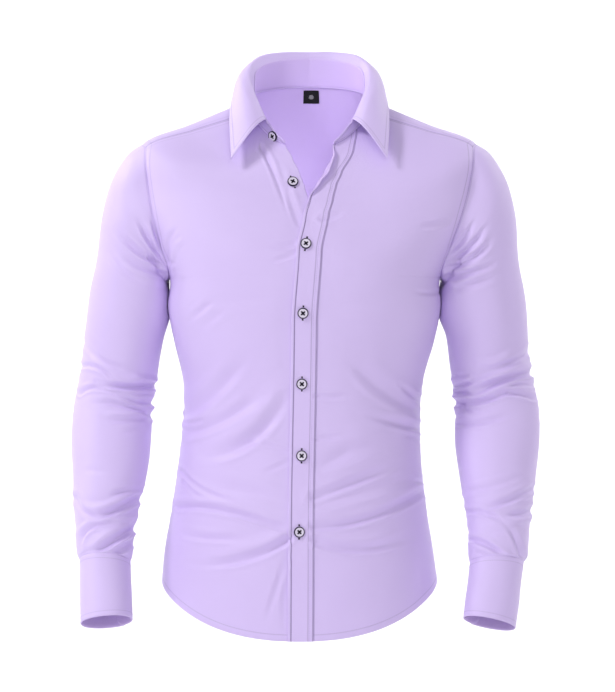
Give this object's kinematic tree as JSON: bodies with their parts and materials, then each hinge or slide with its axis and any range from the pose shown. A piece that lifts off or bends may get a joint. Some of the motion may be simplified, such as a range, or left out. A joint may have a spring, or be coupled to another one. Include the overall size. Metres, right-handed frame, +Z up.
{
  "type": "long sleeve dress shirt",
  "caption": "Slim long sleeve dress shirt, filled out as if worn, open at the neck, with a turned down collar, buttoned front, shirt tail hem and buttoned cuffs.",
  "frame": {"origin": "base of the neck, at the middle of the shoulders, where the wearer carries the shirt", "axes": "+Z up, the front faces -Y, +X is the wearer's left side"},
  "size_m": [0.6168, 0.2416, 0.7819],
  "materials": {
    "cloth": "smooth fine stretch twill with a soft sheen",
    "cloth_band": "the same cloth, folded and pressed, with edge stitching",
    "button": "polished pale lavender with a dark violet rim",
    "label": "black woven satin"
  },
  "bodies": {
    "root": {"front_right": "cloth", "front_left": "cloth", "back": "cloth", "yoke": "cloth", "sleeve_right": "cloth", "sleeve_left": "cloth", "front_placket": "cloth_band", "sleeve_placket_right": "cloth_band", "sleeve_placket_left": "cloth_band", "cuff_right": "cloth_band", "cuff_left": "cloth_band", "collar_stand": "cloth_band", "collar_leaf": "cloth_band", "button_open": "button", "button_1": "button", "button_2": "button", "button_3": "button", "button_4": "button", "button_5": "button", "button_stand": "button", "cuff_button_right": "button", "cuff_button_left": "button", "neck_label": "label"}
  },
  "joints": []
}
